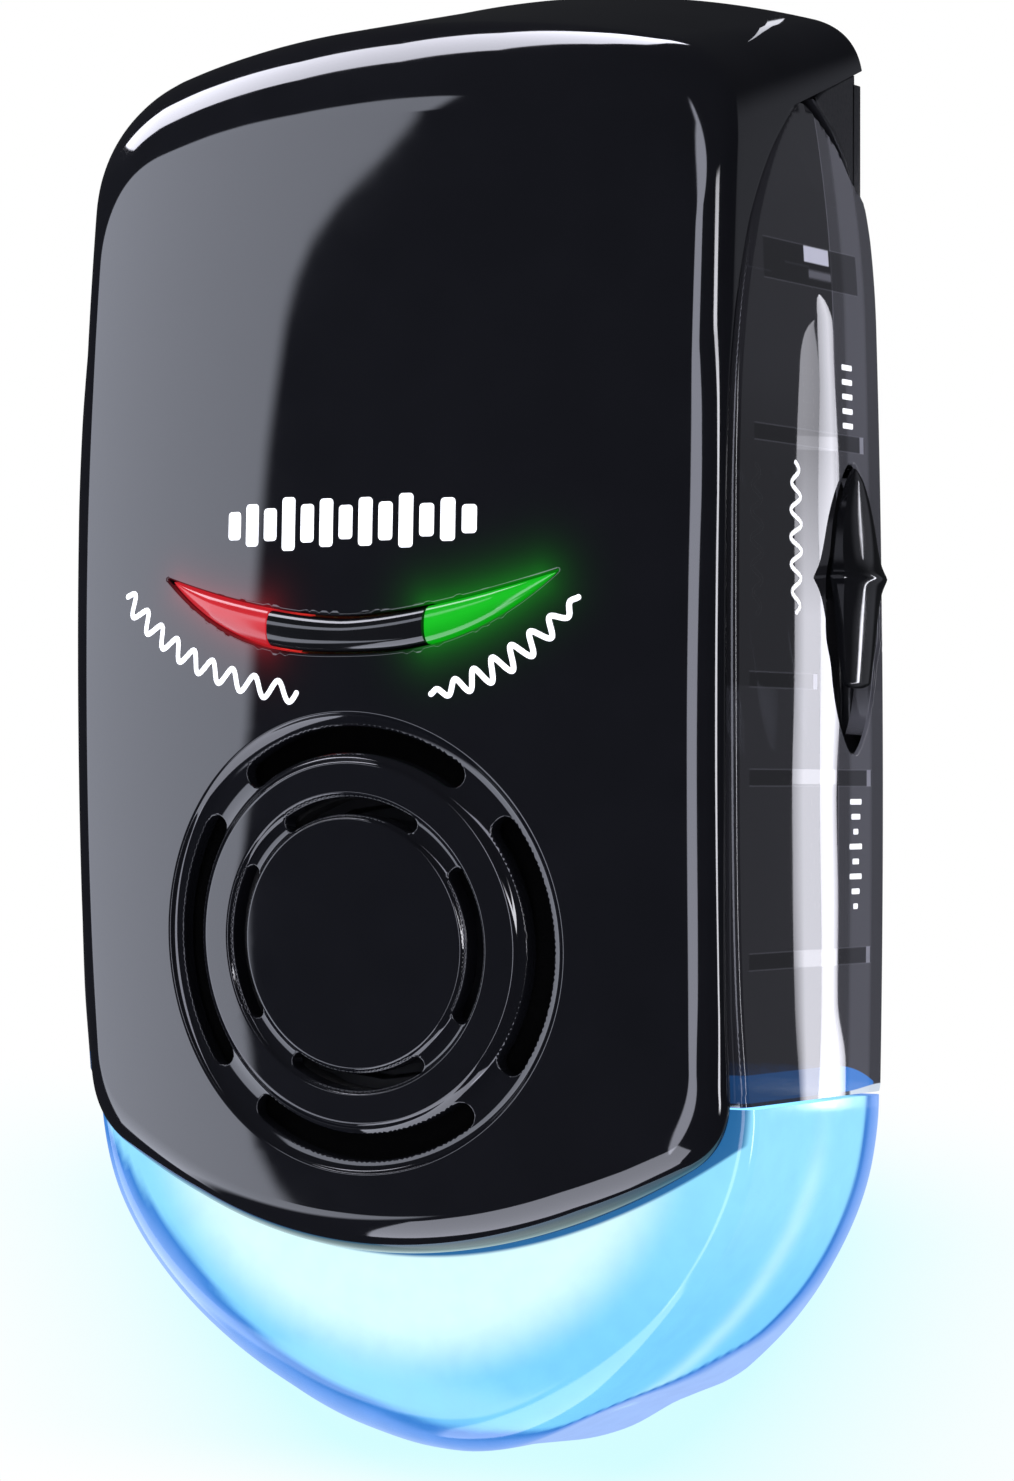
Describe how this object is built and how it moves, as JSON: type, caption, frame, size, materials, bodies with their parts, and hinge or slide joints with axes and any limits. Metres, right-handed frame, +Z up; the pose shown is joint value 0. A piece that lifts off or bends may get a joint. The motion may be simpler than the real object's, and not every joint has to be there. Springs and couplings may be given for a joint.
{
  "type": "ultrasonic pest repeller",
  "caption": "Plug-in pest repeller: glossy bowed cover with a round sound grille, two indicator windows, translucent sides with slide buttons, and a rounded night light below the plug.",
  "frame": {"origin": "centre of the plug on the wall face, midway between the two blades", "axes": "+X to the right seen from the front, +Y into the wall along the blades, +Z up"},
  "size_m": [0.0782, 0.0548, 0.1399],
  "materials": {
    "black_gloss": "high gloss",
    "black_rear": "fine texture",
    "black_button": "gloss",
    "smoke_clear": "smoke tinted clear plastic",
    "night_light": "lit translucent plastic",
    "red_window": "lit translucent plastic",
    "green_window": "lit translucent plastic",
    "plug_black": "matte",
    "nickel": "nickel plated",
    "steel": "zinc plated",
    "brass": "plain",
    "board_green": "solder mask",
    "chip_black": "moulded",
    "capacitor_blue": "sleeve",
    "capacitor_red": "dipped",
    "copper": "enamelled wire",
    "nylon": "moulded",
    "ferrite": "sintered",
    "foam": "closed cell",
    "cone_film": "film",
    "lamp_red": "epoxy",
    "lamp_green": "epoxy",
    "lamp_blue": "epoxy",
    "fuse_glass": "clear",
    "ceramic_tan": "coated",
    "deck_white": "diffusing",
    "wire_red": "insulation",
    "wire_black": "insulation",
    "label_grey": "printed film, blank"
  },
  "bodies": {
    "case": {"blade_left": "nickel", "blade_left_terminal": "brass", "blade_right": "nickel", "blade_right_terminal": "brass", "blue_lamp_1": "lamp_blue", "blue_lamp_2": "lamp_blue", "blue_lamp_3": "lamp_blue", "board_screw_1": "steel", "board_screw_2": "steel", "bridge_rectifier": "chip_black", "case_screw_1": "steel", "case_screw_2": "steel", "case_screw_3": "steel", "case_screw_4": "steel", "coil_bobbin": "nylon", "coil_core": "ferrite", "coil_winding": "copper", "controller_chip": "chip_black", "dropper_resistor": "ceramic_tan", "film_capacitor": "capacitor_red", "filter_capacitor": "capacitor_blue", "front_cover": "black_gloss", "fuse": "fuse_glass", "green_indicator_lens": "green_window", "green_lamp": "lamp_green", "indicator_bar": "black_button", "indicator_board": "board_green", "indicator_wire": "wire_red", "main_board": "board_green", "mains_wire_left": "wire_black", "mains_wire_right": "wire_black", "mode_switch_body": "steel", "night_light_board": "board_green", "night_light_deck": "deck_white", "night_light_lens": "night_light", "night_light_switch_body": "steel", "night_light_wire": "wire_red", "piezo_disc": "brass", "plug_block": "plug_black", "rating_label": "label_grey", "rear_cover": "black_rear", "red_indicator_lens": "red_window", "red_lamp": "lamp_red", "side_window_left": "smoke_clear", "side_window_right": "smoke_clear", "speaker_wire_1": "wire_red", "speaker_wire_2": "wire_black", "transducer_cone": "cone_film", "transducer_frame": "chip_black", "transducer_gasket": "foam", "grille_felt": "foam"},
    "mode_slider": {"mode_slider_button": "black_button", "mode_switch_lever": "nylon"},
    "night_light_slider": {"night_light_slider_button": "black_button", "night_light_switch_lever": "nylon"}
  },
  "joints": [
    {"name": "mode_slide", "type": "slide", "parent": "case", "child": "mode_slider", "axis": [0, 0, 1], "range_m": [-0.0056, 0]},
    {"name": "night_light_slide", "type": "slide", "parent": "case", "child": "night_light_slider", "axis": [0, 0, 1], "range_m": [-0.0056, 0]}
  ]
}
